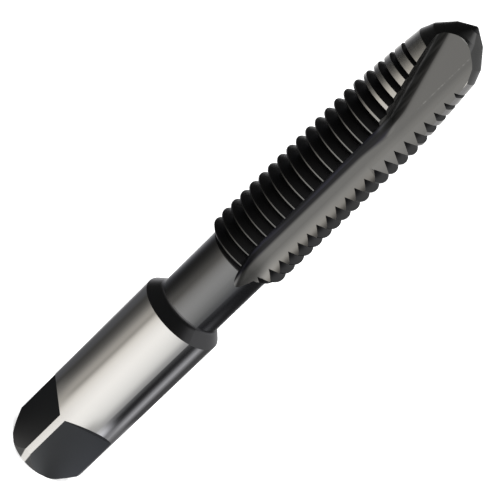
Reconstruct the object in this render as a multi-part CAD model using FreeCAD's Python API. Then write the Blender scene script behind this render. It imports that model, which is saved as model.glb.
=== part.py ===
"""Two-flute thread tap with a spiral point, turned, milled and ground from one bar of tool steel.

Lengths are in millimetres and angles in degrees. The origin is the centre of the drive end's face,
and +Z runs along the tool to its tip. The flats of the square face along X and Y.
"""

import FreeCAD
import Part

import os
from math import cos, radians, sin, sqrt, tan

Vector = FreeCAD.Vector

# Shank and drive end
SHANK_DIAMETER = 10.5
SHANK_LENGTH = 25.85
END_CHAMFER_LENGTH = 2.0
END_CHAMFER_ANGLE = 31.0
SQUARE_ACROSS_FLATS = 8.0
SQUARE_SIDES = 4
SQUARE_LENGTH = 8.35
SQUARE_RUNOUT_ANGLE = 44.0
CENTRE_PILOT_DIAMETER = 2.0
CENTRE_PILOT_DEPTH = 4.0
CENTRE_SINK_DIAMETER = 4.25
CENTRE_SINK_ANGLE = 60.0

# Shoulder and neck
SHOULDER_ANGLE = 42.5
SHOULDER_FILLET = 0.8
NECK_DIAMETER = 7.94
NECK_LENGTH = 8.8

# Thread
THREAD_DIAMETER = 10.0
THREAD_PITCH = 1.5
THREAD_ANGLE = 60.0
CREST_FLAT = 0.14
THREAD_LENGTH = 32.3
THREAD_START_ANGLE = 223.7
BACK_CHAMFER_ANGLE = 45.0
LEAD_CHAMFER_LENGTH = 9.5
LEAD_CHAMFER_ANGLE = 5.8

# Nose with its male centre, whose cone is blunter at the point
NOSE_TAPER_LENGTH = 1.45
NOSE_DIAMETER = 6.9
NOSE_CONE_ANGLE = 80.0
NOSE_POINT_DIAMETER = 3.9
NOSE_POINT_ANGLE = 114.0
NOSE_FLAT_DIAMETER = 0.3

# Flutes
FLUTE_COUNT = 2
CUTTING_EDGE_ANGLE = -30.4
WEB_THICKNESS = 4.5
FLUTE_WIDTH = 5.0
FLUTE_MIDDLE_ANGLE = 25.0
FLUTE_FACE_FILLET = 0.85
FLUTE_HEEL_RADIUS = 3.0
FLUTE_CUTTER_TILT = 45.0
FLUTE_CUTTER_RADIUS = 12.0
FLUTE_EXIT_GAP = 2.1

# Spiral point, ground into the flutes at the tip
SPIRAL_POINT_LENGTH = 10.2
SPIRAL_POINT_ANGLE = 15.8
SPIRAL_POINT_HOOK = 16.5
SPIRAL_FLOOR_ANGLE = 86.0
SPIRAL_CREASE_OFFSET = 1.58
SPIRAL_POINT_FILLET = 0.85

# How far the cutting tools reach past the material
TOOL_CLEARANCE = 2.0
FLUTE_CUTTER_SWEEP = 60.0

SHANK_RADIUS = SHANK_DIAMETER / 2
NECK_RADIUS = NECK_DIAMETER / 2
THREAD_RADIUS = THREAD_DIAMETER / 2
FLOOR_DISTANCE = WEB_THICKNESS / 2
NOSE_RADIUS = NOSE_DIAMETER / 2
NOSE_POINT_RADIUS = NOSE_POINT_DIAMETER / 2
NOSE_FLAT_RADIUS = NOSE_FLAT_DIAMETER / 2

# Stations along the axis
SHOULDER_LENGTH = (SHANK_RADIUS - NECK_RADIUS) / tan(radians(SHOULDER_ANGLE))
NECK_START = SHANK_LENGTH + SHOULDER_LENGTH
THREAD_START = NECK_START + NECK_LENGTH
THREAD_END = THREAD_START + THREAD_LENGTH
NOSE_START = THREAD_END + NOSE_TAPER_LENGTH
POINT_START = NOSE_START + (NOSE_RADIUS - NOSE_POINT_RADIUS) / tan(radians(NOSE_CONE_ANGLE / 2))
TIP = POINT_START + (NOSE_POINT_RADIUS - NOSE_FLAT_RADIUS) / tan(radians(NOSE_POINT_ANGLE / 2))

# Past every surface of the tool
OUTER_RADIUS = max(SHANK_RADIUS, THREAD_RADIUS) + TOOL_CLEARANCE


def polar(radius, angle, z=0.0):
    """Return the point at a radius, an angle about Z and a height."""
    return Vector(radius * cos(radians(angle)), radius * sin(radians(angle)), z)


def filleted_corner(corner, direction_in, direction_out, radius):
    """Return the start, middle and end of the arc that rounds a corner between two sides.

    Both directions point away from the corner, along the sides.
    """
    half = direction_in.getAngle(direction_out) / 2
    bisector = (direction_in + direction_out).normalize()
    setback = radius / tan(half)
    centre = corner + bisector * (radius / sin(half))
    return corner + direction_in * setback, centre - bisector * radius, corner + direction_out * setback


def blank():
    """Return the turned blank: shank, shoulder, neck, thread body with its chamfers, and nose."""
    back_chamfer = (THREAD_RADIUS - NECK_RADIUS) / tan(radians(BACK_CHAMFER_ANGLE))
    lead_start = THREAD_END - LEAD_CHAMFER_LENGTH
    lead_end_radius = THREAD_RADIUS - LEAD_CHAMFER_LENGTH * tan(radians(LEAD_CHAMFER_ANGLE))
    end_radius = SHANK_RADIUS - END_CHAMFER_LENGTH * tan(radians(END_CHAMFER_ANGLE))
    shoulder_side = Vector(SHANK_RADIUS - NECK_RADIUS, 0, -SHOULDER_LENGTH).normalize()
    neck_side = Vector(0, 0, 1)
    fillet_start, fillet_middle, fillet_end = filleted_corner(
        Vector(NECK_RADIUS, 0, NECK_START), shoulder_side, neck_side, SHOULDER_FILLET
    )
    lower = Part.makePolygon([
        Vector(0, 0, 0),
        Vector(end_radius, 0, 0),
        Vector(SHANK_RADIUS, 0, END_CHAMFER_LENGTH),
        Vector(SHANK_RADIUS, 0, SHANK_LENGTH),
        fillet_start,
    ])
    fillet = Part.Arc(fillet_start, fillet_middle, fillet_end).toShape()
    upper = Part.makePolygon([
        fillet_end,
        Vector(NECK_RADIUS, 0, THREAD_START),
        Vector(THREAD_RADIUS, 0, THREAD_START + back_chamfer),
        Vector(THREAD_RADIUS, 0, lead_start),
        Vector(lead_end_radius, 0, THREAD_END),
        Vector(NOSE_RADIUS, 0, NOSE_START),
        Vector(NOSE_POINT_RADIUS, 0, POINT_START),
        Vector(NOSE_FLAT_RADIUS, 0, TIP),
        Vector(0, 0, TIP),
        Vector(0, 0, 0),
    ])
    outline = Part.Wire(lower.Edges + [fillet] + upper.Edges)
    return Part.Face(outline).revolve(Vector(0, 0, 0), Vector(0, 0, 1), 360)


def centre_hole():
    """Return the countersunk centre hole that goes into the drive end."""
    sink_radius = CENTRE_SINK_DIAMETER / 2
    pilot_radius = CENTRE_PILOT_DIAMETER / 2
    sink_depth = (sink_radius - pilot_radius) / tan(radians(CENTRE_SINK_ANGLE / 2))
    sink = Part.makeCone(sink_radius, pilot_radius, sink_depth)
    pilot = Part.makeCylinder(pilot_radius, CENTRE_PILOT_DEPTH)
    return sink.fuse(pilot)


def square_flat(angle):
    """Return the tool that mills one flat of the square, with its sloping run-out."""
    depth = SQUARE_ACROSS_FLATS / 2
    outer = OUTER_RADIUS
    runout = (outer - depth) / tan(radians(SQUARE_RUNOUT_ANGLE))
    outline = Part.Face(Part.makePolygon([
        Vector(depth, 0, -TOOL_CLEARANCE),
        Vector(depth, 0, SQUARE_LENGTH),
        Vector(outer, 0, SQUARE_LENGTH + runout),
        Vector(outer, 0, -TOOL_CLEARANCE),
        Vector(depth, 0, -TOOL_CLEARANCE),
    ]))
    tool = outline.extrude(Vector(0, 2 * OUTER_RADIUS, 0))
    tool.translate(Vector(0, -OUTER_RADIUS, 0))
    tool.rotate(Vector(0, 0, 0), Vector(0, 0, 1), angle)
    return tool


def helix(turns):
    """Return the thread's helix as a wire with one edge to a turn, starting on X."""
    edges = []
    for number in range(turns):
        turn = Part.makeHelix(THREAD_PITCH, THREAD_PITCH, THREAD_RADIUS)
        turn.translate(Vector(0, 0, number * THREAD_PITCH))
        edges += turn.Edges
    return Part.Wire(edges)


def thread_groove():
    """Return the right-hand helical vee, sharp at its root, that is cut between the thread's crests.

    It starts and ends in the middle of the second flute, where its ends leave no wall, and stops
    short of the nose. Whole turns also keep the seams of the sweep there.
    """
    slope = tan(radians(THREAD_ANGLE / 2))
    half_mouth = (THREAD_PITCH - CREST_FLAT) / 2
    root_radius = THREAD_RADIUS - half_mouth / slope
    flare = CREST_FLAT / 4
    flared_radius = THREAD_RADIUS + flare / slope
    outer_radius = flared_radius + THREAD_PITCH / 4
    profile = Part.makePolygon([
        Vector(root_radius, 0, 0),
        Vector(flared_radius, 0, -half_mouth - flare),
        Vector(outer_radius, 0, -half_mouth - flare),
        Vector(outer_radius, 0, half_mouth + flare),
        Vector(flared_radius, 0, half_mouth + flare),
        Vector(root_radius, 0, 0),
    ])
    start_angle = CUTTING_EDGE_ANGLE + FLUTE_MIDDLE_ANGLE + 360 / FLUTE_COUNT
    run_in = THREAD_PITCH * ((THREAD_START_ANGLE - start_angle) % 360) / 360
    turns = int((run_in + THREAD_LENGTH) / THREAD_PITCH)
    sweep = Part.BRepOffsetAPI.MakePipeShell(helix(turns))
    sweep.setFrenetMode(True)
    sweep.add(profile)
    sweep.build()
    sweep.makeSolid()
    groove = sweep.shape()
    groove.rotate(Vector(0, 0, 0), Vector(0, 0, 1), start_angle)
    groove.translate(Vector(0, 0, THREAD_START - run_in))
    return groove


def flute_section():
    """Return the section of one flute, with its radial cutting face on X.

    A small fillet joins the face to a flat floor, half a web from the axis, and a wide arc runs from
    the floor up to the heel.
    """
    face_fillet = filleted_corner(Vector(FLOOR_DISTANCE, 0, 0), polar(1, 0), polar(1, 90), FLUTE_FACE_FILLET)
    heel_corner = Vector(FLOOR_DISTANCE, FLUTE_WIDTH, 0)
    heel_arc = filleted_corner(heel_corner, polar(1, -90), polar(1, 0), FLUTE_HEEL_RADIUS)
    outer = Vector(OUTER_RADIUS, 0, 0)
    return Part.Face(Part.Wire([
        Part.makeLine(outer, face_fillet[0]),
        Part.Arc(*face_fillet).toShape(),
        Part.makeLine(face_fillet[2], heel_arc[0]),
        Part.Arc(*heel_arc).toShape(),
        Part.makeLine(heel_arc[2], outer),
    ]))


def flute():
    """Return one straight flute's cutter path, with its cutting edge on X, ending in a run-out."""
    section = flute_section()
    cutter_side = polar(1, FLUTE_CUTTER_TILT)
    fillet_centre = Vector(FLOOR_DISTANCE + FLUTE_FACE_FILLET, FLUTE_FACE_FILLET, 0)
    core = fillet_centre.dot(cutter_side) - FLUTE_FACE_FILLET
    rise = NECK_RADIUS - core
    runout = sqrt(2 * FLUTE_CUTTER_RADIUS * rise - rise**2)
    start = THREAD_START - FLUTE_EXIT_GAP + runout
    section.translate(Vector(0, 0, start))
    straight = section.extrude(Vector(0, 0, TIP + TOOL_CLEARANCE - start))
    pivot = cutter_side * (core + FLUTE_CUTTER_RADIUS) + Vector(0, 0, start)
    turn = section.revolve(pivot, Vector(0, 0, 1).cross(cutter_side), -FLUTE_CUTTER_SWEEP)
    return straight.fuse(turn)


def grind_section(corner, wall, floor):
    """Return the three-sided face whose wall and floor meet in the spiral grind's rounded corner."""
    arc = filleted_corner(corner, wall, floor, SPIRAL_POINT_FILLET)
    reach = 4 * OUTER_RADIUS
    sides = Part.makePolygon([arc[2], corner + floor * reach, corner + wall * reach, arc[0]])
    return Part.Face(Part.Wire([Part.Arc(*arc).toShape()] + sides.Edges))


def spiral_point():
    """Return the slanted grind that opens one flute towards the tip, with the flute's edge on X."""
    crease = Vector(FLOOR_DISTANCE, SPIRAL_CREASE_OFFSET, 0)
    wall = polar(1, -SPIRAL_POINT_HOOK)
    floor = polar(1, SPIRAL_FLOOR_ANGLE)
    edge = Vector(THREAD_RADIUS, 0, 0)
    depth = (edge - crease).cross(floor).z / wall.cross(floor).z
    corner = edge - wall * depth
    slant = radians(SPIRAL_POINT_ANGLE)
    direction = Vector(0, 0, cos(slant)) - floor * sin(slant)
    square_wall = (wall - direction * wall.dot(direction)).normalize()
    square_floor = (floor - direction * floor.dot(direction)).normalize()
    section = grind_section(corner, square_wall, square_floor)
    start = THREAD_END - SPIRAL_POINT_LENGTH
    lead_in = 2 * TOOL_CLEARANCE
    section.translate(Vector(0, 0, start) - direction * lead_in)
    return section.extrude(direction * (lead_in + (TIP + 2 * TOOL_CLEARANCE - start) / cos(slant)))


def tap():
    """Return the finished tap."""
    body = blank().cut(centre_hole())
    for side in range(SQUARE_SIDES):
        body = body.cut(square_flat(side * 360 / SQUARE_SIDES))
    body = body.cut(thread_groove())
    for number in range(FLUTE_COUNT):
        for tool in (flute(), spiral_point()):
            angle = CUTTING_EDGE_ANGLE + number * 360 / FLUTE_COUNT
            tool.rotate(Vector(0, 0, 0), Vector(0, 0, 1), angle)
            body = body.cut(tool)
    return body


def main():
    """Build the tap and write its STEP file."""
    os.makedirs("parts", exist_ok=True)
    solid = tap()
    solid.exportStep("parts/tap.step")
    print(f"tap: {len(solid.Solids)} solid, {len(solid.Faces)} faces, valid {solid.isValid()}")
    print(f"tap: volume {solid.Volume:.1f} mm3, length {TIP:.2f} mm")


main()
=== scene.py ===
import logging
import math
from dataclasses import dataclass
from enum import Enum

import bpy
from mathutils import Matrix, Vector


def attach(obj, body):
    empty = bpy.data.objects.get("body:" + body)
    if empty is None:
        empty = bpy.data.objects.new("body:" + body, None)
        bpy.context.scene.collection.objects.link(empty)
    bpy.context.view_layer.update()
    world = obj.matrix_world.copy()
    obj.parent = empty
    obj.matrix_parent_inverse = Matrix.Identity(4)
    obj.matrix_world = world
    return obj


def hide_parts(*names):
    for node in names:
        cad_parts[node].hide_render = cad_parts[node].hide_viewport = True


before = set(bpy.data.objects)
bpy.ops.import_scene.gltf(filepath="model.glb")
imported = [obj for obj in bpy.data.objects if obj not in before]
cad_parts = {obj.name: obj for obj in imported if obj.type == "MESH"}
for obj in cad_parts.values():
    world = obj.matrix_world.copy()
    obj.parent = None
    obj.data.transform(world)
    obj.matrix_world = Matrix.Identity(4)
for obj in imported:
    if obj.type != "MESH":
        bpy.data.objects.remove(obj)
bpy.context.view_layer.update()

# The picture's side in pixels, and the width of the camera's sensor in millimetres.
PICTURE_SIDE = 500
SENSOR_WIDTH = 36.0
# One millimetre, in metres.
MILLIMETRE = 0.001
# Direction of a cutting edge, in degrees round +Z from +X. The other one is opposite.
CUTTING_EDGE = -30.4
WHITE = (1.0, 1.0, 1.0, 1.0)
# What a mask goes from and to.
FADE_IN = (0.0, 1.0)

Tree = bpy.types.NodeTree
Socket = bpy.types.NodeSocket
Feed = Socket | float | tuple
Span = tuple[float, float]
Steps = tuple[Span, ...]
Colour = tuple[float, float, float]

logging.basicConfig(level=logging.INFO, format="%(name)s: %(message)s")
log = logging.getLogger("tap")


class Surface(Enum):
    """How the faces of the tap were made, in the order of its material slots."""

    GROUND_SHANK = 0
    MILLED_FLAT = 1
    TURNED_SHOULDER = 2
    TURNED_NECK = 3
    THREAD_FLANK = 4
    THREAD_CREST = 5
    GROUND_FLUTE = 6
    TIP_CONE = 7
    DRIVE_FACE = 8
    CHAMFER_LAND = 9
    END_CHAMFER = 10


class Grain(Enum):
    """The way a finish's fine lines run, as how densely they lie along X, Y and Z."""

    ROUND_THE_AXIS = (0.02, 0.02, 1.0)
    ALONG_THE_AXIS = (1.0, 1.0, 0.02)
    EVEN = (1.0, 1.0, 1.0)


@dataclass(frozen=True)
class MetalFinish:
    """A metal surface with its grain and its soft mottling.

    Attributes:
        name: The material's name.
        colour: The metal's own colour.
        tint: The colour that the mottling drifts to.
        roughness: How matt it is, from 0 to 1.
        grain: The way the fine lines run.
        grain_density: Lines to a metre.
        grain_depth: How strongly the lines tilt the surface, from 0 to 1.
        grain_height: How high the lines stand at full strength, in metres.
        roughness_spread: How far the grain changes the roughness, up and down.
        patch_density: Mottled patches to a metre.
        mottling: How far the colour drifts, from 0 to 1.
    """

    name: str
    colour: Colour
    tint: Colour
    roughness: float
    grain: Grain = Grain.ROUND_THE_AXIS
    grain_density: float = 9000.0
    grain_depth: float = 0.06
    grain_height: float = 0.01 * MILLIMETRE
    roughness_spread: float = 0.04
    patch_density: float = 260.0
    mottling: float = 0.5

    def material(self, effects: "Effects") -> bpy.types.Material:
        """Builds the material.

        Args:
            effects: The node groups that the finishes share.

        Returns:
            The new material.
        """
        made = bpy.data.materials.new(self.name)
        made.use_nodes = True
        tree = made.node_tree
        shader = tree.nodes["Principled BSDF"]
        shader.inputs["Metallic"].default_value = 1.0
        place = tree.nodes.new("ShaderNodeTexCoord").outputs["Object"]
        grain = effects.place(tree, effects.grain, place)
        for axis, density in zip("XYZ", self.grain.value):
            grain.inputs[f"Density {axis}"].default_value = density * self.grain_density
        grain.inputs["Roughness"].default_value = self.roughness
        grain.inputs["Spread"].default_value = self.roughness_spread
        bump = tree.nodes.new("ShaderNodeBump")
        bump.inputs["Strength"].default_value = self.grain_depth
        bump.inputs["Distance"].default_value = self.grain_height
        links = tree.links
        links.new(self.tone(tree, effects, place), shader.inputs["Base Color"])
        links.new(grain.outputs["Roughness"], shader.inputs["Roughness"])
        links.new(grain.outputs["Height"], bump.inputs["Height"])
        links.new(bump.outputs["Normal"], shader.inputs["Normal"])
        return made

    def tone(self, tree: Tree, effects: "Effects", place: Socket) -> Socket:
        """Builds the surface's colour.

        Args:
            tree: The material's node tree.
            effects: The node groups that the finishes share.
            place: The socket that gives the place on the tap.

        Returns:
            The socket that gives the colour.
        """
        patches = effects.place(tree, effects.mottling, place)
        patches.inputs["Density"].default_value = self.patch_density
        patches.inputs["Amount"].default_value = self.mottling
        patches.inputs["Colour"].default_value = (*self.colour, 1.0)
        patches.inputs["Tint"].default_value = (*self.tint, 1.0)
        return patches.outputs["Colour"]


@dataclass(frozen=True)
class CrestFinish(MetalFinish):
    """The crests of the thread and the lands of its lead chamfer, brighter towards the tip, partly from
    wear and partly as a painted highlight.

    Attributes:
        bright: The colour that they reach, worn and with a painted highlight.
        wear_and_highlight: Heights between which they brighten, in millimetres.
    """

    bright: Colour = (0.28, 0.28, 0.27)
    wear_and_highlight: Span = (37.0, 58.0)

    def tone(self, tree: Tree, effects: "Effects", place: Socket) -> Socket:
        """Builds the colour, which brightens with the height, partly as wear and partly as a painted
        highlight.

        Args:
            tree: The material's node tree.
            effects: The node groups that the finishes share.
            place: The socket that gives the place on the tap.

        Returns:
            The socket that gives the colour.
        """
        plain = super().tone(tree, effects, place)
        spot = effects.place(tree, effects.flute_place, place)
        # Worn brighter towards the tip, together with a painted highlight.
        share = Nodes.spread(tree, spot.outputs["Height"], self.wear_and_highlight, FADE_IN)
        return Nodes.mix(tree, share, plain, self.bright)


@dataclass(frozen=True)
class FluteFinish(MetalFinish):
    """The ground flutes: painted shade along the cutting face, grey on the floor and a painted highlight
    towards the heel.

    Distances are in millimetres across the flute, from its cutting edge.

    Attributes:
        floor: Colour of the floor as a share of its own colour, at each distance, rising to a painted
            highlight towards the heel.
        opened_floor: The same, with a weaker painted highlight, where the spiral point's grind has opened
            the heel.
        heel_cut: Heights between which that grind opens the heel.
        heel_fade: Heights between which the painted highlight at the heel weakens below that.
        heel_highlight_loss: How far that painted highlight weakens there, from 0 to 1.
        runout_highlight: Colour of the cutter's run-out as a share, at each height: a painted highlight
            near the neck.
        dark: The colour of the painted shade along the cutting face.
        streak: The colour of the lighter streaks in that band of painted shade.
        streak_density: Streaks to a metre along X, Y and Z.
        streak_range: Levels of the noise between which a streak appears.
        band: Distances between which the painted shade along the cutting face fades out.
        band_rise: Heights over which the painted shade widens towards the spiral point.
        band_stretch: Factor on the distances below and above them, less for a wider band.
        edge_glint: Distances over which the painted glint on the cutting edge fades.
        glint_levels: Brightness of the painted shade, with its painted glint, before and after them.
        spiral_start: Heights between which the spiral point takes over.
        spiral_edge: Height at which the spiral point's edge starts to slant.
        spiral_slope: How fast that edge moves across, for each millimetre of height.
        spiral_band: Colour of the spiral point as a share, at each distance from its slanting edge:
            painted highlights near that edge, then a painted dark line.
        spiral_rise: Heights over which its band of painted shade widens to the full.
        spiral_stretch: Factor on the distances below and above them.
        spiral_streak_fade: Distances between which its streaks fade out.
        spiral_streaks: How much its streaks show before that, from 0 to 1.
        streak_levels: Brightness of the spiral point between its streaks and on them.
        seam: Distance across of the fine seam along the spiral point's floor, where a painted highlight
            runs.
        seam_start: Heights between which the seam appears.
        seam_width: Distances from the seam between which it fades.
        seam_highlight_gain: How much brighter the painted highlight on the seam makes the floor.
        dot_density: Dots of the seam to a metre along X, Y and Z.
        dot_range: Levels of the noise between which a dot appears.
        dot_levels: How much of the seam's painted highlight shows between its dots and on them.
    """

    floor: Steps = (
        (0.0, 1.0), (1.4, 1.0), (1.8, 0.99), (2.0, 0.93), (2.2, 1.05), (2.42, 1.24), (2.64, 1.5),
        (2.86, 1.85), (3.08, 2.3), (3.3, 2.5), (3.8, 2.2), (5.0, 1.6),
    )
    opened_floor: Steps = (
        (0.0, 1.0), (1.4, 1.0), (1.8, 0.99), (2.0, 0.98), (2.2, 1.05), (2.5, 1.2), (2.9, 1.3),
        (3.3, 1.28), (5.0, 0.95),
    )
    heel_cut: Span = (54.2, 54.4)
    heel_fade: Span = (44.0, 54.0)
    heel_highlight_loss: float = 0.5
    runout_highlight: Steps = (
        (32.5, 2.6), (34.4, 2.6), (35.4, 2.1), (36.3, 1.4), (37.3, 1.05), (38.5, 1.0), (75.0, 1.0),
    )
    dark: Colour = (0.036, 0.036, 0.038)
    streak: Colour = (0.050, 0.049, 0.064)
    streak_density: tuple[float, float, float] = (2600.0, 2600.0, 130.0)
    streak_range: Span = (0.42, 0.66)
    band: Span = (0.93, 1.36)
    band_rise: Span = (54.0, 58.0)
    band_stretch: Span = (1.0, 0.8)
    edge_glint: Span = (0.15, 0.75)
    glint_levels: Span = (3.2, 1.0)
    spiral_start: Span = (57.4, 60.0)
    spiral_edge: float = 58.15
    spiral_slope: float = 0.283
    spiral_band: Steps = (
        (-0.5, 1.6), (0.0, 1.9), (0.3, 2.7), (0.55, 3.0), (0.8, 1.05), (1.0, 0.30), (1.2, 0.14),
        (1.5, 0.11), (1.72, 0.20), (1.9, 0.70), (2.1, 0.9), (2.5, 0.93), (6.0, 0.93),
    )
    spiral_rise: Span = (56.5, 62.0)
    spiral_stretch: Span = (1.5, 1.0)
    spiral_streak_fade: Span = (1.5, 1.9)
    spiral_streaks: float = 0.45
    streak_levels: Span = (0.45, 1.9)
    seam: float = 1.62
    seam_start: Span = (62.0, 64.0)
    seam_width: Span = (0.02, 0.10)
    seam_highlight_gain: float = 0.55
    dot_density: tuple[float, float, float] = (10.0, 10.0, 1500.0)
    dot_range: Span = (0.45, 0.60)
    dot_levels: Span = (0.1, 1.0)

    def tone(self, tree: Tree, effects: "Effects", place: Socket) -> Socket:
        """Builds the colour of the straight flute and of its spiral point.

        Args:
            tree: The material's node tree.
            effects: The node groups that the finishes share.
            place: The socket that gives the place on the tap.

        Returns:
            The socket that gives the colour.
        """
        plain = super().tone(tree, effects, place)
        spot = effects.place(tree, effects.flute_place, place)
        across, height = spot.outputs["Across"], spot.outputs["Height"]
        # Painted highlight along the seam of the spiral point's floor.
        seam_highlight_level = self._seam_highlight(tree, place, across, height)
        level = Nodes.calc(tree, "MULTIPLY", self._floor_level(tree, across, height), seam_highlight_level)
        # Painted highlight on the cutter's run-out, near the neck.
        runout_level = Nodes.steps(tree, height, self.runout_highlight)
        floor = Nodes.scaled(tree, plain, Nodes.calc(tree, "MULTIPLY", level, runout_level))
        above = Nodes.calc(tree, "SUBTRACT", height, self.spiral_edge)
        past = Nodes.calc(tree, "MAXIMUM", above, 0.0)
        drift = Nodes.calc(tree, "MULTIPLY", past, self.spiral_slope)
        from_edge = Nodes.calc(tree, "ADD", across, drift)
        # Painted shade along the cutting face, with lighter streaks in it.
        noise = Nodes.noise(tree, place, self.streak_density)
        streaks = Nodes.spread(tree, noise, self.streak_range, FADE_IN)
        # Painted glint on the cutting edge, fading into the painted shade.
        glint = Nodes.spread(tree, from_edge, self.edge_glint, self.glint_levels)
        dark = Nodes.scaled(tree, Nodes.mix(tree, streaks, self.dark, self.streak), glint)
        reach = self._stretched(tree, from_edge, height, self.band_rise, self.band_stretch)
        straight = Nodes.mix(tree, Nodes.spread(tree, reach, self.band, FADE_IN), dark, floor)
        # The spiral point: painted highlights beside its slanting edge, then a painted dark line.
        slanted = Nodes.scaled(tree, floor, self._spiral_level(tree, from_edge, height, streaks))
        spiral = Nodes.spread(tree, height, self.spiral_start, FADE_IN)
        return Nodes.mix(tree, spiral, straight, slanted)

    def _floor_level(self, tree: Tree, across: Socket, height: Socket) -> Socket:
        """Builds the brightness of the floor, with the painted highlight towards the heel.

        Args:
            tree: The material's node tree.
            across: The socket that gives the distance across the flute.
            height: The socket that gives the height.

        Returns:
            The socket that gives the brightness as a share.
        """
        # Painted highlight towards the heel, weaker where the spiral point's grind opens it.
        opened = Nodes.spread(tree, height, self.heel_cut, FADE_IN)
        fading = Nodes.spread(tree, height, self.heel_fade, (0.0, self.heel_highlight_loss))
        cut = Nodes.calc(tree, "MAXIMUM", opened, fading)
        whole = Nodes.steps(tree, across, self.floor)
        return Nodes.blend(tree, cut, whole, Nodes.steps(tree, across, self.opened_floor))

    @staticmethod
    def _stretched(tree: Tree, from_edge: Socket, height: Socket, heights: Span, factors: Span) -> Socket:
        """Stretches the distance from the edge by a factor that changes with the height.

        Args:
            tree: The material's node tree.
            from_edge: The socket that gives the distance from the edge.
            height: The socket that gives the height.
            heights: Heights between which the factor changes.
            factors: The factor below and above them.

        Returns:
            The socket that gives the stretched distance.
        """
        return Nodes.calc(tree, "MULTIPLY", from_edge, Nodes.spread(tree, height, heights, factors))

    def _spiral_level(self, tree: Tree, from_edge: Socket, height: Socket, streaks: Socket) -> Socket:
        """Builds the brightness of the spiral point, with its painted highlights and painted shade.

        Args:
            tree: The material's node tree.
            from_edge: The socket that gives the distance from its slanting edge.
            height: The socket that gives the height.
            streaks: The socket that gives the mask of the streaks.

        Returns:
            The socket that gives the brightness as a share of the floor's.
        """
        streak_share = Nodes.spread(tree, from_edge, self.spiral_streak_fade, (self.spiral_streaks, 0.0))
        grained = Nodes.blend(tree, streak_share, 1.0, Nodes.blend(tree, streaks, *self.streak_levels))
        reach = self._stretched(tree, from_edge, height, self.spiral_rise, self.spiral_stretch)
        return Nodes.calc(tree, "MULTIPLY", Nodes.steps(tree, reach, self.spiral_band), grained)

    def _seam_highlight(self, tree: Tree, place: Socket, across: Socket, height: Socket) -> Socket:
        """Builds the painted highlight, broken into dots, along the fine seam of the spiral point's
        floor.

        Args:
            tree: The material's node tree.
            place: The socket that gives the place on the tap.
            across: The socket that gives the distance across the flute.
            height: The socket that gives the height.

        Returns:
            The socket that gives how much brighter the painted highlight makes the floor there.
        """
        off = Nodes.calc(tree, "ABSOLUTE", Nodes.calc(tree, "SUBTRACT", across, self.seam))
        line = Nodes.spread(tree, off, self.seam_width, (self.seam_highlight_gain, 0.0))
        begun = Nodes.spread(tree, height, self.seam_start, FADE_IN)
        noise = Nodes.noise(tree, place, self.dot_density)
        dotted = Nodes.spread(tree, noise, self.dot_range, self.dot_levels)
        whole = Nodes.calc(tree, "MULTIPLY", line, begun)
        return Nodes.calc(tree, "ADD", Nodes.calc(tree, "MULTIPLY", whole, dotted), 1.0)


@dataclass(frozen=True)
class RayedFinish(MetalFinish):
    """The tip's cones, with a lighter and a darker painted reflection that run as rays from the point on
    each side.

    Attributes:
        painted_rays: Colour as a share of the tip's own, at each angle from a cutting edge, in degrees:
            painted reflections, lighter and darker.
    """

    painted_rays: Steps = (
        (0.0, 1.2), (6.0, 1.3), (13.0, 1.5), (22.0, 1.7), (28.0, 1.6), (32.0, 0.85), (60.0, 0.8),
        (120.0, 0.6), (148.0, 0.55), (158.0, 1.0), (168.0, 1.5), (176.0, 1.4), (180.0, 1.2),
    )

    def tone(self, tree: Tree, effects: "Effects", place: Socket) -> Socket:
        """Builds the colour round the tip, with its painted reflections.

        Args:
            tree: The material's node tree.
            effects: The node groups that the finishes share.
            place: The socket that gives the place on the tap.

        Returns:
            The socket that gives the colour.
        """
        plain = super().tone(tree, effects, place)
        spot = effects.place(tree, effects.flute_place, place)
        # Painted reflections as rays from the point.
        return Nodes.scaled(tree, plain, Nodes.steps(tree, spot.outputs["Angle"], self.painted_rays))


@dataclass(frozen=True)
class CornerFinish(MetalFinish):
    """The chamfer of the drive end, dark but for a painted highlight down each corner of the square.

    Attributes:
        corner_highlight: The colour of the painted highlights down the corners.
        half_width: Degrees from a corner's middle at which the painted highlight fades, first and last.
    """

    corner_highlight: Colour = (0.85, 0.84, 0.82)
    half_width: Span = (4.0, 6.0)

    def tone(self, tree: Tree, effects: "Effects", place: Socket) -> Socket:
        """Builds the colour round the drive end, with a painted highlight down each corner.

        Args:
            tree: The material's node tree.
            effects: The node groups that the finishes share.
            place: The socket that gives the place on the tap.

        Returns:
            The socket that gives the colour.
        """
        plain = super().tone(tree, effects, place)
        parts = tree.nodes.new("ShaderNodeSeparateXYZ")
        tree.links.new(place, parts.inputs[0])
        turn = Nodes.calc(tree, "ARCTAN2", parts.outputs["Y"], parts.outputs["X"])
        quarter = Nodes.calc(tree, "PINGPONG", turn, math.pi / 4)
        off = Nodes.calc(tree, "SUBTRACT", math.pi / 4, quarter)
        edges = tuple(math.radians(edge) for edge in self.half_width)
        # Painted highlight down each corner of the square.
        return Nodes.mix(tree, Nodes.spread(tree, off, edges, FADE_IN), self.corner_highlight, plain)


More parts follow.
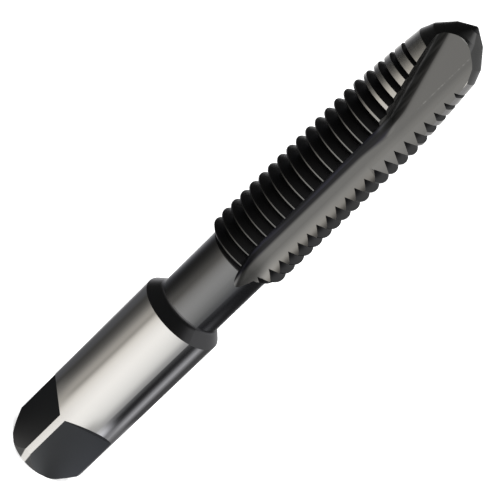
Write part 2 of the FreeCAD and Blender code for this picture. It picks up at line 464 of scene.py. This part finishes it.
FINISHES: dict[Surface, MetalFinish] = {
    Surface.GROUND_SHANK: MetalFinish(
        "ground_shank", (0.88, 0.87, 0.855), (0.84, 0.83, 0.81), 0.15, grain_depth=0.05
    ),
    Surface.MILLED_FLAT: MetalFinish(
        "milled_flat", (0.088, 0.092, 0.098), (0.108, 0.112, 0.118), 0.40, grain_depth=0.1
    ),
    Surface.TURNED_SHOULDER: MetalFinish(
        "turned_shoulder", (0.20, 0.20, 0.205), (0.17, 0.17, 0.18), 0.30, grain_depth=0.1
    ),
    Surface.TURNED_NECK: MetalFinish(
        "turned_neck", (0.252, 0.254, 0.256), (0.228, 0.232, 0.242), 0.22, grain_depth=0.12
    ),
    Surface.THREAD_FLANK: MetalFinish(
        "thread_flank", (0.12, 0.12, 0.122), (0.085, 0.085, 0.09), 0.36, grain_depth=0.08
    ),
    Surface.THREAD_CREST: CrestFinish(
        "thread_crest", (0.17, 0.17, 0.165), (0.15, 0.15, 0.148), 0.26, grain_depth=0.08
    ),
    Surface.GROUND_FLUTE: FluteFinish(
        "ground_flute", (0.215, 0.213, 0.206), (0.200, 0.199, 0.196), 0.30,
        grain=Grain.ALONG_THE_AXIS, grain_depth=0.12,
    ),
    Surface.TIP_CONE: RayedFinish(
        "tip_cone", (0.24, 0.24, 0.235), (0.20, 0.20, 0.205), 0.28, grain_depth=0.1
    ),
    Surface.DRIVE_FACE: MetalFinish(
        "drive_face", (0.22, 0.22, 0.225), (0.18, 0.18, 0.19), 0.38,
        grain=Grain.EVEN, grain_depth=0.1,
    ),
    # The lead chamfer's lands: bright towards the tip, worn and with a painted highlight.
    Surface.CHAMFER_LAND: CrestFinish(
        "chamfer_land", (0.30, 0.295, 0.285), (0.25, 0.245, 0.235), 0.20,
        grain_depth=0.1, mottling=0.7, bright=(0.74, 0.725, 0.69), wear_and_highlight=(58.9, 60.8),
    ),
    Surface.END_CHAMFER: CornerFinish(
        "end_chamfer", (0.040, 0.041, 0.044), (0.048, 0.050, 0.053), 0.34, grain_depth=0.08
    ),
}


class Nodes:
    """Short ways to add the shader nodes that the finishes and the studio use."""

    @staticmethod
    def _feed(tree: Tree, socket: Socket, value: Feed) -> None:
        """Links a socket to another one, or sets it.

        Args:
            tree: The node tree.
            socket: The input socket.
            value: The socket to link it to, or its number, vector or colour.
        """
        if isinstance(value, Socket):
            tree.links.new(value, socket)
        elif isinstance(value, tuple) and socket.type != "VECTOR":
            socket.default_value = (*value, 1.0)
        else:
            socket.default_value = value

    @staticmethod
    def calc(tree: Tree, operation: str, *values: Feed) -> Socket:
        """Adds a Math node.

        Args:
            tree: The node tree.
            operation: What the node works out.
            values: What goes in.

        Returns:
            The socket that gives the result.
        """
        node = tree.nodes.new("ShaderNodeMath")
        node.operation = operation
        for socket, value in zip(node.inputs, values):
            Nodes._feed(tree, socket, value)
        return node.outputs[0]

    @staticmethod
    def spread(tree: Tree, value: Feed, source: Span, target: Span) -> Socket:
        """Maps a value smoothly from one range to another.

        Args:
            tree: The node tree.
            value: The value.
            source: Where it is mapped from.
            target: What it is mapped to.

        Returns:
            The socket that gives the result.
        """
        node = tree.nodes.new("ShaderNodeMapRange")
        node.interpolation_type = "SMOOTHSTEP"
        Nodes._feed(tree, node.inputs["Value"], value)
        labels = ("From Min", "From Max", "To Min", "To Max")
        for label, edge in zip(labels, (*source, *target)):
            node.inputs[label].default_value = edge
        return node.outputs["Result"]

    @staticmethod
    def ramp(tree: Tree, value: Feed, stops: tuple[tuple[float, Colour], ...]) -> Socket:
        """Maps a value through a list of places and colours.

        Args:
            tree: The node tree.
            value: The value.
            stops: The colours, by place.

        Returns:
            The socket that gives the colour.
        """
        first, last = stops[0][0], stops[-1][0]
        share = tree.nodes.new("ShaderNodeMapRange")
        for label, part in zip(("Value", "From Min", "From Max"), (value, first, last)):
            Nodes._feed(tree, share.inputs[label], part)
        ramp = tree.nodes.new("ShaderNodeValToRGB")
        elements = ramp.color_ramp.elements
        for number, (place, colour) in enumerate(stops):
            position = (place - first) / (last - first)
            stop = elements[number] if number < len(elements) else elements.new(position)
            stop.position = position
            stop.color = (*colour, 1.0)
        tree.links.new(share.outputs["Result"], ramp.inputs["Fac"])
        return ramp.outputs["Color"]

    @staticmethod
    def steps(tree: Tree, value: Feed, stops: Steps, top: float = 4.0) -> Socket:
        """Maps a value through a list of places and levels.

        Args:
            tree: The node tree.
            value: The value.
            stops: The levels, by place.
            top: The highest level that a list may hold.

        Returns:
            The socket that gives the level.
        """
        shares = tuple((place, (level / top,) * 3) for place, level in stops)
        return Nodes.calc(tree, "MULTIPLY", Nodes.ramp(tree, value, shares), top)

    @staticmethod
    def _mixed(tree: Tree, kind: str, share: Feed, first: Feed, second: Feed) -> Socket:
        """Adds a Mix node.

        Args:
            tree: The node tree.
            kind: The kind of data that it mixes.
            share: How much of the second there is in the result.
            first: The first colour or number.
            second: The second one.

        Returns:
            The socket that gives the result.
        """
        node = tree.nodes.new("ShaderNodeMix")
        node.data_type = kind
        for label, value in zip(("Factor", "A", "B"), (share, first, second)):
            Nodes._feed(tree, node.inputs[label], value)
        return node.outputs["Result"]

    @staticmethod
    def mix(tree: Tree, share: Feed, first: Feed, second: Feed) -> Socket:
        """Mixes two colours and returns the result."""
        return Nodes._mixed(tree, "RGBA", share, first, second)

    @staticmethod
    def blend(tree: Tree, share: Feed, first: Feed, second: Feed) -> Socket:
        """Mixes two numbers and returns the result."""
        return Nodes._mixed(tree, "FLOAT", share, first, second)

    @staticmethod
    def choose(tree: Tree, share: Socket, first: Socket, second: Socket) -> Socket:
        """Adds a Mix Shader node.

        Args:
            tree: The node tree.
            share: The socket that picks the second shader.
            first: The first shader's socket.
            second: The second shader's socket.

        Returns:
            The socket that gives the shader.
        """
        node = tree.nodes.new("ShaderNodeMixShader")
        for socket, value in zip(node.inputs, (share, first, second)):
            tree.links.new(value, socket)
        return node.outputs[0]

    @staticmethod
    def scaled(tree: Tree, colour: Feed, amount: Feed) -> Socket:
        """Multiplies a colour by a number.

        Args:
            tree: The node tree.
            colour: The colour.
            amount: The number.

        Returns:
            The socket that gives the result.
        """
        node = tree.nodes.new("ShaderNodeVectorMath")
        node.operation = "SCALE"
        Nodes._feed(tree, node.inputs[0], colour)
        Nodes._feed(tree, node.inputs["Scale"], amount)
        return node.outputs[0]

    @staticmethod
    def noise(tree: Tree, place: Socket, density: Feed, detail: float = 2.0) -> Socket:
        """Adds a noise that is stretched along X, Y and Z.

        Args:
            tree: The node tree.
            place: The socket that gives the place.
            density: How densely it lies along each, to a metre.
            detail: How many finer layers it has.

        Returns:
            The socket that gives the noise.
        """
        stretch = tree.nodes.new("ShaderNodeVectorMath")
        stretch.operation = "MULTIPLY"
        for socket, value in zip(stretch.inputs, (place, density)):
            Nodes._feed(tree, socket, value)
        noise = tree.nodes.new("ShaderNodeTexNoise")
        noise.inputs["Scale"].default_value = 1.0
        noise.inputs["Detail"].default_value = detail
        tree.links.new(stretch.outputs[0], noise.inputs["Vector"])
        return noise.outputs["Fac"]

    @staticmethod
    def turned(tree: Tree, place: Socket, angle: float, scale: float = 1.0) -> bpy.types.Node:
        """Turns a place about +Z and splits it.

        Args:
            tree: The node tree.
            place: The socket that gives the place.
            angle: How far it turns, in degrees.
            scale: What it is multiplied by.

        Returns:
            The node that gives its X, Y and Z.
        """
        mapping = tree.nodes.new("ShaderNodeMapping")
        mapping.inputs["Rotation"].default_value = (0.0, 0.0, math.radians(angle))
        mapping.inputs["Scale"].default_value = (scale,) * 3
        parts = tree.nodes.new("ShaderNodeSeparateXYZ")
        tree.links.new(place, mapping.inputs["Vector"])
        tree.links.new(mapping.outputs["Vector"], parts.inputs["Vector"])
        return parts


class Effects:
    """The node groups that more than one finish uses."""

    GRAIN_DETAIL = 3.0
    MOTTLING_DETAIL = 4.0
    NOISE_MIDDLE = 0.5
    HALF_TURN = 180.0

    def __init__(self) -> None:
        """Builds the groups."""
        self.grain = self._grain()
        self.mottling = self._mottling()
        self.flute_place = self._flute_place()

    @staticmethod
    def place(tree: Tree, group: Tree, place: Socket) -> bpy.types.Node:
        """Places a group in a material's tree.

        Args:
            tree: The material's node tree.
            group: The group.
            place: The socket that gives the place on the tap.

        Returns:
            The group's node.
        """
        node = tree.nodes.new("ShaderNodeGroup")
        node.node_tree = group
        tree.links.new(place, node.inputs["Place"])
        return node

    @staticmethod
    def _new_group(
        name: str, inputs: dict[str, str], outputs: dict[str, str]
    ) -> tuple[Tree, bpy.types.Node, bpy.types.Node]:
        """Starts a node group, which has the input Place besides those named.

        Args:
            name: The group's name.
            inputs: Its other input sockets, by name, with their types.
            outputs: Its output sockets, by name, with their types.

        Returns:
            The group, its input node and its output node.
        """
        group = bpy.data.node_groups.new(name, "ShaderNodeTree")
        for way, sockets in (("INPUT", {"Place": "Vector", **inputs}), ("OUTPUT", outputs)):
            for label, kind in sockets.items():
                group.interface.new_socket(label, in_out=way, socket_type=f"NodeSocket{kind}")
        return group, group.nodes.new("NodeGroupInput"), group.nodes.new("NodeGroupOutput")

    def _grain(self) -> Tree:
        """Builds the fine lines that grinding, turning or milling leaves.

        Returns:
            The group.
        """
        numbers = ("Density X", "Density Y", "Density Z", "Roughness", "Spread")
        group, start, end = self._new_group(
            "fine_grain", dict.fromkeys(numbers, "Float"), {"Height": "Float", "Roughness": "Float"}
        )
        density = group.nodes.new("ShaderNodeCombineXYZ")
        for axis in "XYZ":
            group.links.new(start.outputs[f"Density {axis}"], density.inputs[axis])
        given = start.outputs
        lines = Nodes.noise(group, given["Place"], density.outputs["Vector"], self.GRAIN_DETAIL)
        centred = Nodes.calc(group, "SUBTRACT", lines, self.NOISE_MIDDLE)
        matt = Nodes.calc(group, "MULTIPLY_ADD", centred, given["Spread"], given["Roughness"])
        group.links.new(lines, end.inputs["Height"])
        group.links.new(matt, end.inputs["Roughness"])
        return group

    def _mottling(self) -> Tree:
        """Builds the soft drift of a finish's colour.

        Returns:
            The group.
        """
        group, start, end = self._new_group(
            "mottling",
            {"Density": "Float", "Amount": "Float", "Colour": "Color", "Tint": "Color"},
            {"Colour": "Color"},
        )
        given = start.outputs
        noise = group.nodes.new("ShaderNodeTexNoise")
        noise.inputs["Detail"].default_value = self.MOTTLING_DETAIL
        group.links.new(given["Place"], noise.inputs["Vector"])
        group.links.new(given["Density"], noise.inputs["Scale"])
        amount = Nodes.calc(group, "MULTIPLY", noise.outputs["Fac"], given["Amount"])
        mixed = Nodes.mix(group, amount, given["Colour"], given["Tint"])
        group.links.new(mixed, end.inputs["Colour"])
        return group

    def _flute_place(self) -> Tree:
        """Builds a place's distance across its flute, its height and its angle from the edge.

        Returns:
            The group.
        """
        group, start, end = self._new_group(
            "flute_place", {}, {"Across": "Float", "Height": "Float", "Angle": "Float"}
        )
        parts = Nodes.turned(group, start.outputs["Place"], -CUTTING_EDGE, 1.0 / MILLIMETRE)
        side = Nodes.calc(group, "SIGN", parts.outputs["X"])
        across = Nodes.calc(group, "MULTIPLY", parts.outputs["Y"], side)
        outward = Nodes.calc(group, "MULTIPLY", parts.outputs["X"], side)
        angle = Nodes.calc(group, "DEGREES", Nodes.calc(group, "ARCTAN2", across, outward))
        half_turn = Nodes.calc(group, "WRAP", angle, self.HALF_TURN, 0.0)
        group.links.new(across, end.inputs["Across"])
        group.links.new(parts.outputs["Z"], end.inputs["Height"])
        group.links.new(half_turn, end.inputs["Angle"])
        return group


@dataclass
class TapBody:
    """The tap, in one piece, with a finish for each way its faces were made.

    Sizes are in millimetres, and heights are from the drive end.

    Attributes:
        turned: Height and radius of each corner of the turned blank.
        tolerance: How far a turned face's corner may lie from the blank.
        sagitta: How far the middle of a turned face may lie inside the blank.
        hole_depth: How far inside the blank a corner lies if it is the centre hole's.
        merge_distance: Corners nearer to each other than this are merged.
        end_chamfer: Where the drive end's chamfer ends.
        square_end: Height above which no face belongs to the square or the centre hole.
        shank_end: Where the shank meets the shoulder.
        neck_start: Where the shoulder's fillet has run out into the neck.
        thread_start: Where the thread body leaves the neck.
        thread_full: Where the thread body reaches its full width.
        lead_start: Where the lead chamfer starts.
        thread_end: Where the lead chamfer meets the nose.
        flank_tilt: Least share of a flank's normal that points along the axis.
    """

    turned: Steps = (
        (0.0, 4.048), (2.0, 5.25), (25.85, 5.25), (27.247, 3.97), (36.047, 3.97), (37.077, 5.0),
        (58.847, 5.0), (68.347, 4.035), (69.797, 3.45), (71.585, 1.95), (72.753, 0.15),
    )
    tolerance: float = 0.02
    sagitta: float = 0.09
    hole_depth: float = 2.0
    merge_distance: float = 0.001
    end_chamfer: float = 2.0
    square_end: float = 12.0
    shank_end: float = 25.85
    neck_start: float = 28.4
    thread_start: float = 36.047
    thread_full: float = 37.077
    lead_start: float = 58.847
    thread_end: float = 68.347
    flank_tilt: float = 0.75

    def blank_radius(self, height: float) -> float:
        """Works out how wide the turned blank is.

        Args:
            height: The height.

        Returns:
            The blank's radius there, or 0 above it.
        """
        for (low, narrow), (high, wide) in zip(self.turned, self.turned[1:]):
            if height <= high:
                return narrow + (wide - narrow) * (height - low) / (high - low)
        return 0.0

    def surface_of(self, corners: list[Vector], normal: Vector) -> Surface:
        """Tells how a face was made, from its place and normal.

        Args:
            corners: The face's corners, in millimetres.
            normal: The face's normal.

        Returns:
            The way it was made.
        """
        middle = sum(corners, Vector()) / len(corners)
        height = middle.z
        gaps = [self.blank_radius(c.z) - math.hypot(c.x, c.y) for c in corners]
        sunk = self.blank_radius(height) - math.hypot(middle.x, middle.y)
        turned = max(abs(g) for g in gaps) < self.tolerance and sunk < self.sagitta
        if height < self.square_end:
            if max(c.z for c in corners) < self.tolerance or max(gaps) > self.hole_depth:
                return Surface.DRIVE_FACE
            if turned:
                return Surface.END_CHAMFER if height < self.end_chamfer else Surface.GROUND_SHANK
            return Surface.MILLED_FLAT
        if height < self.shank_end:
            return Surface.GROUND_SHANK
        if height < self.neck_start:
            return Surface.TURNED_SHOULDER
        if turned and height < self.thread_start:
            return Surface.TURNED_NECK
        if turned and height > self.thread_end:
            return Surface.TIP_CONE
        if turned and height > self.lead_start:
            return Surface.CHAMFER_LAND
        if turned and height > self.thread_full:
            return Surface.THREAD_CREST
        if turned or abs(normal.z) > self.flank_tilt:
            return Surface.THREAD_FLANK
        return Surface.GROUND_FLUTE

    def build(self) -> bpy.types.Object:
        """Makes the shown body as a merged copy of the frame's solid, with that solid's normals.

        Returns:
            The body, riding on the frame.
        """
        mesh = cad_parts["tap"].data.copy()
        body = bpy.data.objects.new("tap_body", mesh)
        bpy.context.scene.collection.objects.link(body)
        normals = [Vector(corner.vector) for corner in mesh.corner_normals]
        faces = len(mesh.polygons)
        bpy.ops.object.select_all(action="DESELECT")
        body.select_set(True)
        bpy.context.view_layer.objects.active = body
        bpy.ops.object.mode_set(mode="EDIT")
        bpy.ops.mesh.select_all(action="SELECT")
        bpy.ops.mesh.remove_doubles(threshold=self.merge_distance * MILLIMETRE)
        bpy.ops.object.mode_set(mode="OBJECT")
        bpy.ops.object.shade_smooth()
        if len(mesh.polygons) == faces:
            mesh.normals_split_custom_set(normals)
        else:
            log.warning("merging took %d faces away", faces - len(mesh.polygons))
        self.dress(body)
        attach(body, "root")
        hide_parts("tap")
        return body

    def dress(self, body: bpy.types.Object) -> None:
        """Gives each face the finish of the way it was made.

        Args:
            body: The body.
        """
        effects = Effects()
        mesh = body.data
        mesh.materials.clear()
        for surface in Surface:
            mesh.materials.append(FINISHES[surface].material(effects))
        counts = dict.fromkeys(Surface, 0)
        for face in mesh.polygons:
            corners = [mesh.vertices[i].co / MILLIMETRE for i in face.vertices]
            surface = self.surface_of(corners, face.normal)
            face.material_index = surface.value
            counts[surface] += 1
        for surface, count in counts.items():
            log.info("%s: %d faces", FINISHES[surface].name, count)


@dataclass(frozen=True)
class Viewpoint:
    """Where the photograph was taken from, around the standing tap.

    Attributes:
        azimuth: Degrees round the tap; 0 looks along +Y.
        elevation: Degrees above the horizon.
        distance: Metres from the point looked at.
        focal_pixels: The focal length, in pixels of the picture.
        roll: Degrees that the camera is turned about its own line of sight.
        target_height: Height of the point looked at, in metres.
        target_side: How far that point lies to the camera's right of the axis, in metres.
        clip: Distances between which the camera sees things, in metres.
    """

    azimuth: float = 55.6
    elevation: float = 23.05
    distance: float = 0.2120
    focal_pixels: float = 1926.5
    roll: float = 45.9
    target_height: float = 0.037165
    target_side: float = 0.000165
    clip: Span = (0.01, 10.0)

    def place(self) -> bpy.types.Object:
        """Adds the camera and makes it the scene's own.

        Returns:
            The camera object.
        """
        a, e, r = (math.radians(x) for x in (self.azimuth, self.elevation, self.roll))
        back = Vector((math.sin(a) * math.cos(e), -math.cos(a) * math.cos(e), math.sin(e)))
        right = Vector((math.cos(a), math.sin(a), 0.0))
        up = back.cross(right)
        target = Vector((0.0, 0.0, self.target_height)) + right * self.target_side
        across = right * math.cos(r) + up * math.sin(r)
        upward = up * math.cos(r) - right * math.sin(r)
        data = bpy.data.cameras.new("photo_camera")
        data.sensor_width = SENSOR_WIDTH
        data.lens = self.focal_pixels * SENSOR_WIDTH / PICTURE_SIDE
        data.clip_start, data.clip_end = self.clip
        camera = bpy.data.objects.new("photo_camera", data)
        bpy.context.scene.collection.objects.link(camera)
        turn = Matrix((across, upward, back)).transposed().to_4x4()
        camera.matrix_world = Matrix.Translation(target + back * self.distance) @ turn
        bpy.context.scene.camera = camera
        return camera


@dataclass(frozen=True)
class Studio:
    """The white table, the dark room above it and the soft lamp.

    Directions are in degrees round +Z from facing, and elevations above the horizon.

    Attributes:
        facing: Direction from the tap to the photograph's camera, in degrees round +Z from +X.
        table_size: Side of the table, in metres.
        table_colour: The colour of the table.
        table_glow: How much the table glows, for the camera alone, so that it shows white.
        foot_reach: How far from the tap the papers at its foot reach, in metres, as they fade out.
        near_reach: The same for the near papers.
        far_reach: The same for the far papers.
        outer_reach: The same for the outer papers.
        foot_papers: Brightness of the papers that the square mirrors, at each direction.
        near_papers: Brightness of the papers that the shank mirrors.
        far_papers: Brightness of the papers that the neck and most of the thread mirror.
        outer_papers: Brightness of the papers that the tip mirrors.
        bare_table: Brightness of the table that shows in the metal beyond the papers.
        tints: Colour of the papers at each direction.
        room_level: How brightly the room lights the tap and the table.
        sky: Brightness of the room that shows in the metal, at each share of the way up.
        card_direction: Direction of the grey card overhead.
        card_elevation: Its elevation.
        card_edges: Nearness to the card's middle at which it starts and is whole.
        card_level: The card's brightness.
        lamp_direction: Direction of the soft lamp.
        lamp_elevation: Its elevation.
        lamp_distance: How far it is from the middle of the tap, in metres.
        lamp_target: Height of that middle, in metres.
        lamp_size: Side of the square lamp, in metres.
        lamp_power: The lamp's power, in watts.
    """

    facing: float = -34.4
    table_size: float = 8.0
    table_colour: Colour = (0.8, 0.8, 0.8)
    table_glow: float = 0.62
    foot_reach: Span = (0.021, 0.026)
    near_reach: Span = (0.058, 0.066)
    far_reach: Span = (0.128, 0.148)
    outer_reach: Span = (1.2, 2.0)
    foot_papers: Steps = (
        (-180, 0.60), (-158, 0.45), (-140, 0.10), (-111, 0.075), (-99, 0.055), (-70, 0.20),
        (-41, 0.47), (-29, 0.79), (0, 0.98), (15, 0.94), (28, 0.78), (42, 0.40), (55, 0.40),
        (64, 0.56), (73, 0.75), (80, 0.62), (88, 0.22), (98, 0.24), (104, 0.32), (112, 0.18),
        (131, 0.10), (150, 0.35), (180, 0.60),
    )
    near_papers: Steps = (
        (-180, 0.60), (-158, 0.45), (-140, 0.10), (-111, 0.075), (-99, 0.05), (-88, 0.075),
        (-79, 0.115), (-70, 0.20), (-61, 0.33), (-53, 0.37), (-46, 0.28), (-41, 0.49), (-36, 0.67),
        (-29, 0.80), (-15, 0.92), (0, 0.99), (15, 0.94), (30, 0.85), (43, 0.72), (51, 0.54),
        (57.5, 0.33), (64, 0.22), (70, 0.09), (76, 0.018), (83, 0.012), (89.5, 0.06), (97, 0.26),
        (104, 0.40), (112, 0.20), (122, 0.06), (146, 0.06), (180, 0.60),
    )
    far_papers: Steps = (
        (-180, 0.90), (-160, 0.80), (-148, 0.55), (-130, 0.24), (-112, 0.06), (-95, 0.045),
        (-80, 0.075), (-68, 0.13), (-56, 0.22), (-46, 0.27), (-36, 0.46), (-26, 0.66), (-15, 0.81),
        (0, 0.92), (14, 0.87), (24, 0.77), (32, 0.64), (43, 0.56), (56, 0.41), (66, 0.31),
        (73, 0.20), (79, 0.08), (88, 0.03), (110, 0.03), (140, 0.05), (160, 0.35), (180, 0.90),
    )
    outer_papers: Steps = (
        (-180, 0.95), (-160, 0.85), (-148, 0.45), (-130, 0.14), (-112, 0.045), (-95, 0.045),
        (-80, 0.085), (-68, 0.18), (-56, 0.34), (-46, 0.56), (-36, 0.70), (-26, 0.76), (-15, 0.82),
        (0, 0.92), (24, 0.75), (43, 0.56), (60, 0.36), (80, 0.16), (96, 0.16), (116, 0.28),
        (136, 0.30), (156, 0.45), (180, 0.95),
    )
    bare_table: float = 0.5
    tints: tuple[tuple[float, Colour], ...] = (
        (-180, (1.0, 1.0, 0.99)), (-150, (0.99, 0.99, 1.02)), (-116, (0.97, 0.99, 1.08)),
        (-98, (1.02, 1.0, 0.96)), (-50, (1.05, 1.0, 0.92)), (-15, (1.02, 1.0, 0.97)),
        (50, (1.0, 1.0, 0.985)), (78, (0.97, 0.985, 1.06)), (130, (0.99, 0.99, 1.03)),
        (180, (1.0, 1.0, 0.99)),
    )
    room_level: float = 0.45
    sky: Steps = ((0.0, 0.30), (0.03, 0.16), (0.10, 0.04), (0.25, 0.03), (1.0, 0.02))
    card_direction: float = 118.0
    card_elevation: float = 32.0
    card_edges: Span = (0.60, 0.82)
    card_level: float = 0.30
    lamp_direction: float = 20.0
    lamp_elevation: float = 70.0
    lamp_distance: float = 0.9
    lamp_target: float = 0.036
    lamp_size: float = 0.5
    lamp_power: float = 9.0

    def build(self) -> None:
        """Adds the table, the room and the lamp."""
        self._table()
        self._room()
        self._lamp()

    def _towards(self, direction: float, elevation: float) -> Vector:
        """Returns the unit vector that points from the tap in a direction."""
        turn, rise = math.radians(self.facing + direction), math.radians(elevation)
        return Vector(
            (math.cos(turn) * math.cos(rise), math.sin(turn) * math.cos(rise), math.sin(rise))
        )

    def _table(self) -> None:
        """Adds the white table, which shows its papers in the metal alone."""
        bpy.ops.object.select_all(action="DESELECT")
        bpy.ops.mesh.primitive_plane_add(size=self.table_size)
        table = bpy.context.object
        table.name = "table"
        made = bpy.data.materials.new("white_table")
        made.use_nodes = True
        tree = made.node_tree
        tree.nodes.clear()
        matt = tree.nodes.new("ShaderNodeBsdfDiffuse")
        matt.inputs["Color"].default_value = (*self.table_colour, 1.0)
        glow = tree.nodes.new("ShaderNodeEmission")
        glow.inputs["Strength"].default_value = self.table_glow
        seen = tree.nodes.new("ShaderNodeAddShader")
        tree.links.new(matt.outputs[0], seen.inputs[0])
        tree.links.new(glow.outputs[0], seen.inputs[1])
        mirrored = tree.nodes.new("ShaderNodeEmission")
        tree.links.new(self._papers(tree), mirrored.inputs["Color"])
        ray = tree.nodes.new("ShaderNodeLightPath").outputs
        plain = Nodes.choose(tree, ray["Is Camera Ray"], matt.outputs[0], seen.outputs[0])
        shown = Nodes.choose(tree, ray["Is Glossy Ray"], plain, mirrored.outputs[0])
        out = tree.nodes.new("ShaderNodeOutputMaterial")
        tree.links.new(shown, out.inputs["Surface"])
        table.data.materials.append(made)

    def _papers(self, tree: Tree) -> Socket:
        """Builds the papers that lie on the table around the tap.

        Args:
            tree: The table's node tree.

        Returns:
            The socket that gives their colour.
        """
        place = tree.nodes.new("ShaderNodeTexCoord").outputs["Object"]
        parts = Nodes.turned(tree, place, -self.facing)
        turn = Nodes.calc(tree, "ARCTAN2", parts.outputs["Y"], parts.outputs["X"])
        degrees = Nodes.calc(tree, "DEGREES", turn)
        length = tree.nodes.new("ShaderNodeVectorMath")
        length.operation = "LENGTH"
        tree.links.new(place, length.inputs[0])
        distance = length.outputs["Value"]
        level: Feed = Nodes.steps(tree, degrees, self.foot_papers, top=1.0)
        for papers, reach in (
            (self.near_papers, self.foot_reach),
            (self.far_papers, self.near_reach),
            (self.outer_papers, self.far_reach),
        ):
            beyond = Nodes.spread(tree, distance, reach, FADE_IN)
            level = Nodes.blend(tree, beyond, level, Nodes.steps(tree, degrees, papers, top=1.0))
        past = Nodes.spread(tree, distance, self.outer_reach, FADE_IN)
        level = Nodes.blend(tree, past, level, self.bare_table)
        return Nodes.scaled(tree, Nodes.ramp(tree, degrees, self.tints), level)

    def _room(self) -> None:
        """Makes the world: white behind the tap, and dark overhead where the metal mirrors it."""
        world = bpy.data.worlds.new("studio")
        world.use_nodes = True
        bpy.context.scene.world = world
        tree = world.node_tree
        tree.nodes.clear()
        white, even, dark = (tree.nodes.new("ShaderNodeBackground") for _ in range(3))
        for background in (white, even, dark):
            background.inputs["Color"].default_value = WHITE
        even.inputs["Strength"].default_value = self.room_level
        view = tree.nodes.new("ShaderNodeTexCoord").outputs["Generated"]
        parts = tree.nodes.new("ShaderNodeSeparateXYZ")
        tree.links.new(view, parts.inputs["Vector"])
        sky = Nodes.steps(tree, parts.outputs["Z"], self.sky, top=1.0)
        nearness = tree.nodes.new("ShaderNodeVectorMath")
        nearness.operation = "DOT_PRODUCT"
        nearness.inputs[1].default_value = self._towards(self.card_direction, self.card_elevation)
        tree.links.new(view, nearness.inputs[0])
        card = Nodes.spread(tree, nearness.outputs["Value"], self.card_edges, (0.0, self.card_level))
        tree.links.new(Nodes.calc(tree, "ADD", sky, card), dark.inputs["Strength"])
        ray = tree.nodes.new("ShaderNodeLightPath").outputs
        lit = Nodes.choose(tree, ray["Is Glossy Ray"], even.outputs[0], dark.outputs[0])
        shown = Nodes.choose(tree, ray["Is Camera Ray"], lit, white.outputs[0])
        out = tree.nodes.new("ShaderNodeOutputWorld")
        tree.links.new(shown, out.inputs["Surface"])

    def _lamp(self) -> None:
        """Adds the soft lamp, which lights the table and doesn't show in the metal."""
        out = self._towards(self.lamp_direction, self.lamp_elevation)
        data = bpy.data.lights.new("overhead", "AREA")
        data.size = self.lamp_size
        data.energy = self.lamp_power
        lamp = bpy.data.objects.new("overhead", data)
        lamp.location = Vector((0.0, 0.0, self.lamp_target)) + out * self.lamp_distance
        lamp.rotation_mode = "QUATERNION"
        lamp.rotation_quaternion = out.to_track_quat("Z", "Y")
        lamp.visible_glossy = False
        bpy.context.scene.collection.objects.link(lamp)


def main() -> None:
    """Builds the tap and its studio, and reports each piece."""
    bpy.context.scene.view_settings.view_transform = "Standard"
    body = TapBody().build()
    log.info("%s: %d faces", body.name, len(body.data.polygons))
    Studio().build()
    Viewpoint().place()
    log.info("camera and studio in place")


if __name__ == "__main__":
    main()
